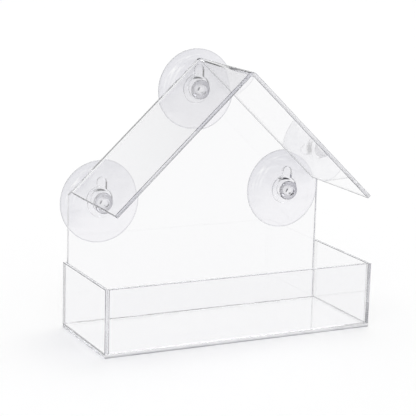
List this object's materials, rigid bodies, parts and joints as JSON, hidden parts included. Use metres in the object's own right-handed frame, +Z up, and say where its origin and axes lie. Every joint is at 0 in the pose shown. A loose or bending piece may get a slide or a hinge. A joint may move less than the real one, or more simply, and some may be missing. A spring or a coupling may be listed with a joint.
{
  "type": "window bird feeder",
  "caption": "Clear house-shaped bird feeder: an open seed tray under a bent gable roof, held to a window pane by suction cups whose necks slide in keyholes.",
  "frame": {"origin": "middle of the tray's underside", "axes": "+X to the feeder's right as seen from the bird's side, +Y towards the window pane, +Z up"},
  "size_m": [0.1508, 0.0632, 0.142],
  "materials": {
    "clear_acrylic": "clear, polished faces with saw-cut, flame-polished edges",
    "clear_soft_pvc": "clear soft moulding, glossy with a slight haze"
  },
  "bodies": {
    "feeder": {"tray_floor": "clear_acrylic", "left_side_panel": "clear_acrylic", "right_side_panel": "clear_acrylic", "front_panel": "clear_acrylic", "back_panel": "clear_acrylic", "roof": "clear_acrylic"},
    "top_cup": {"top_suction_cup": "clear_soft_pvc"},
    "left_cup": {"left_suction_cup": "clear_soft_pvc"},
    "right_cup": {"right_suction_cup": "clear_soft_pvc"}
  },
  "joints": [
    {"name": "top_cup_slide", "type": "slide", "parent": "feeder", "child": "top_cup", "axis": [0, 0, 1], "range_m": [-0.002, 0.008]},
    {"name": "left_cup_slide", "type": "slide", "parent": "feeder", "child": "left_cup", "axis": [0, 0, 1], "range_m": [-0.002, 0.0103]},
    {"name": "right_cup_slide", "type": "slide", "parent": "feeder", "child": "right_cup", "axis": [0, 0, 1], "range_m": [-0.002, 0.0103]}
  ]
}
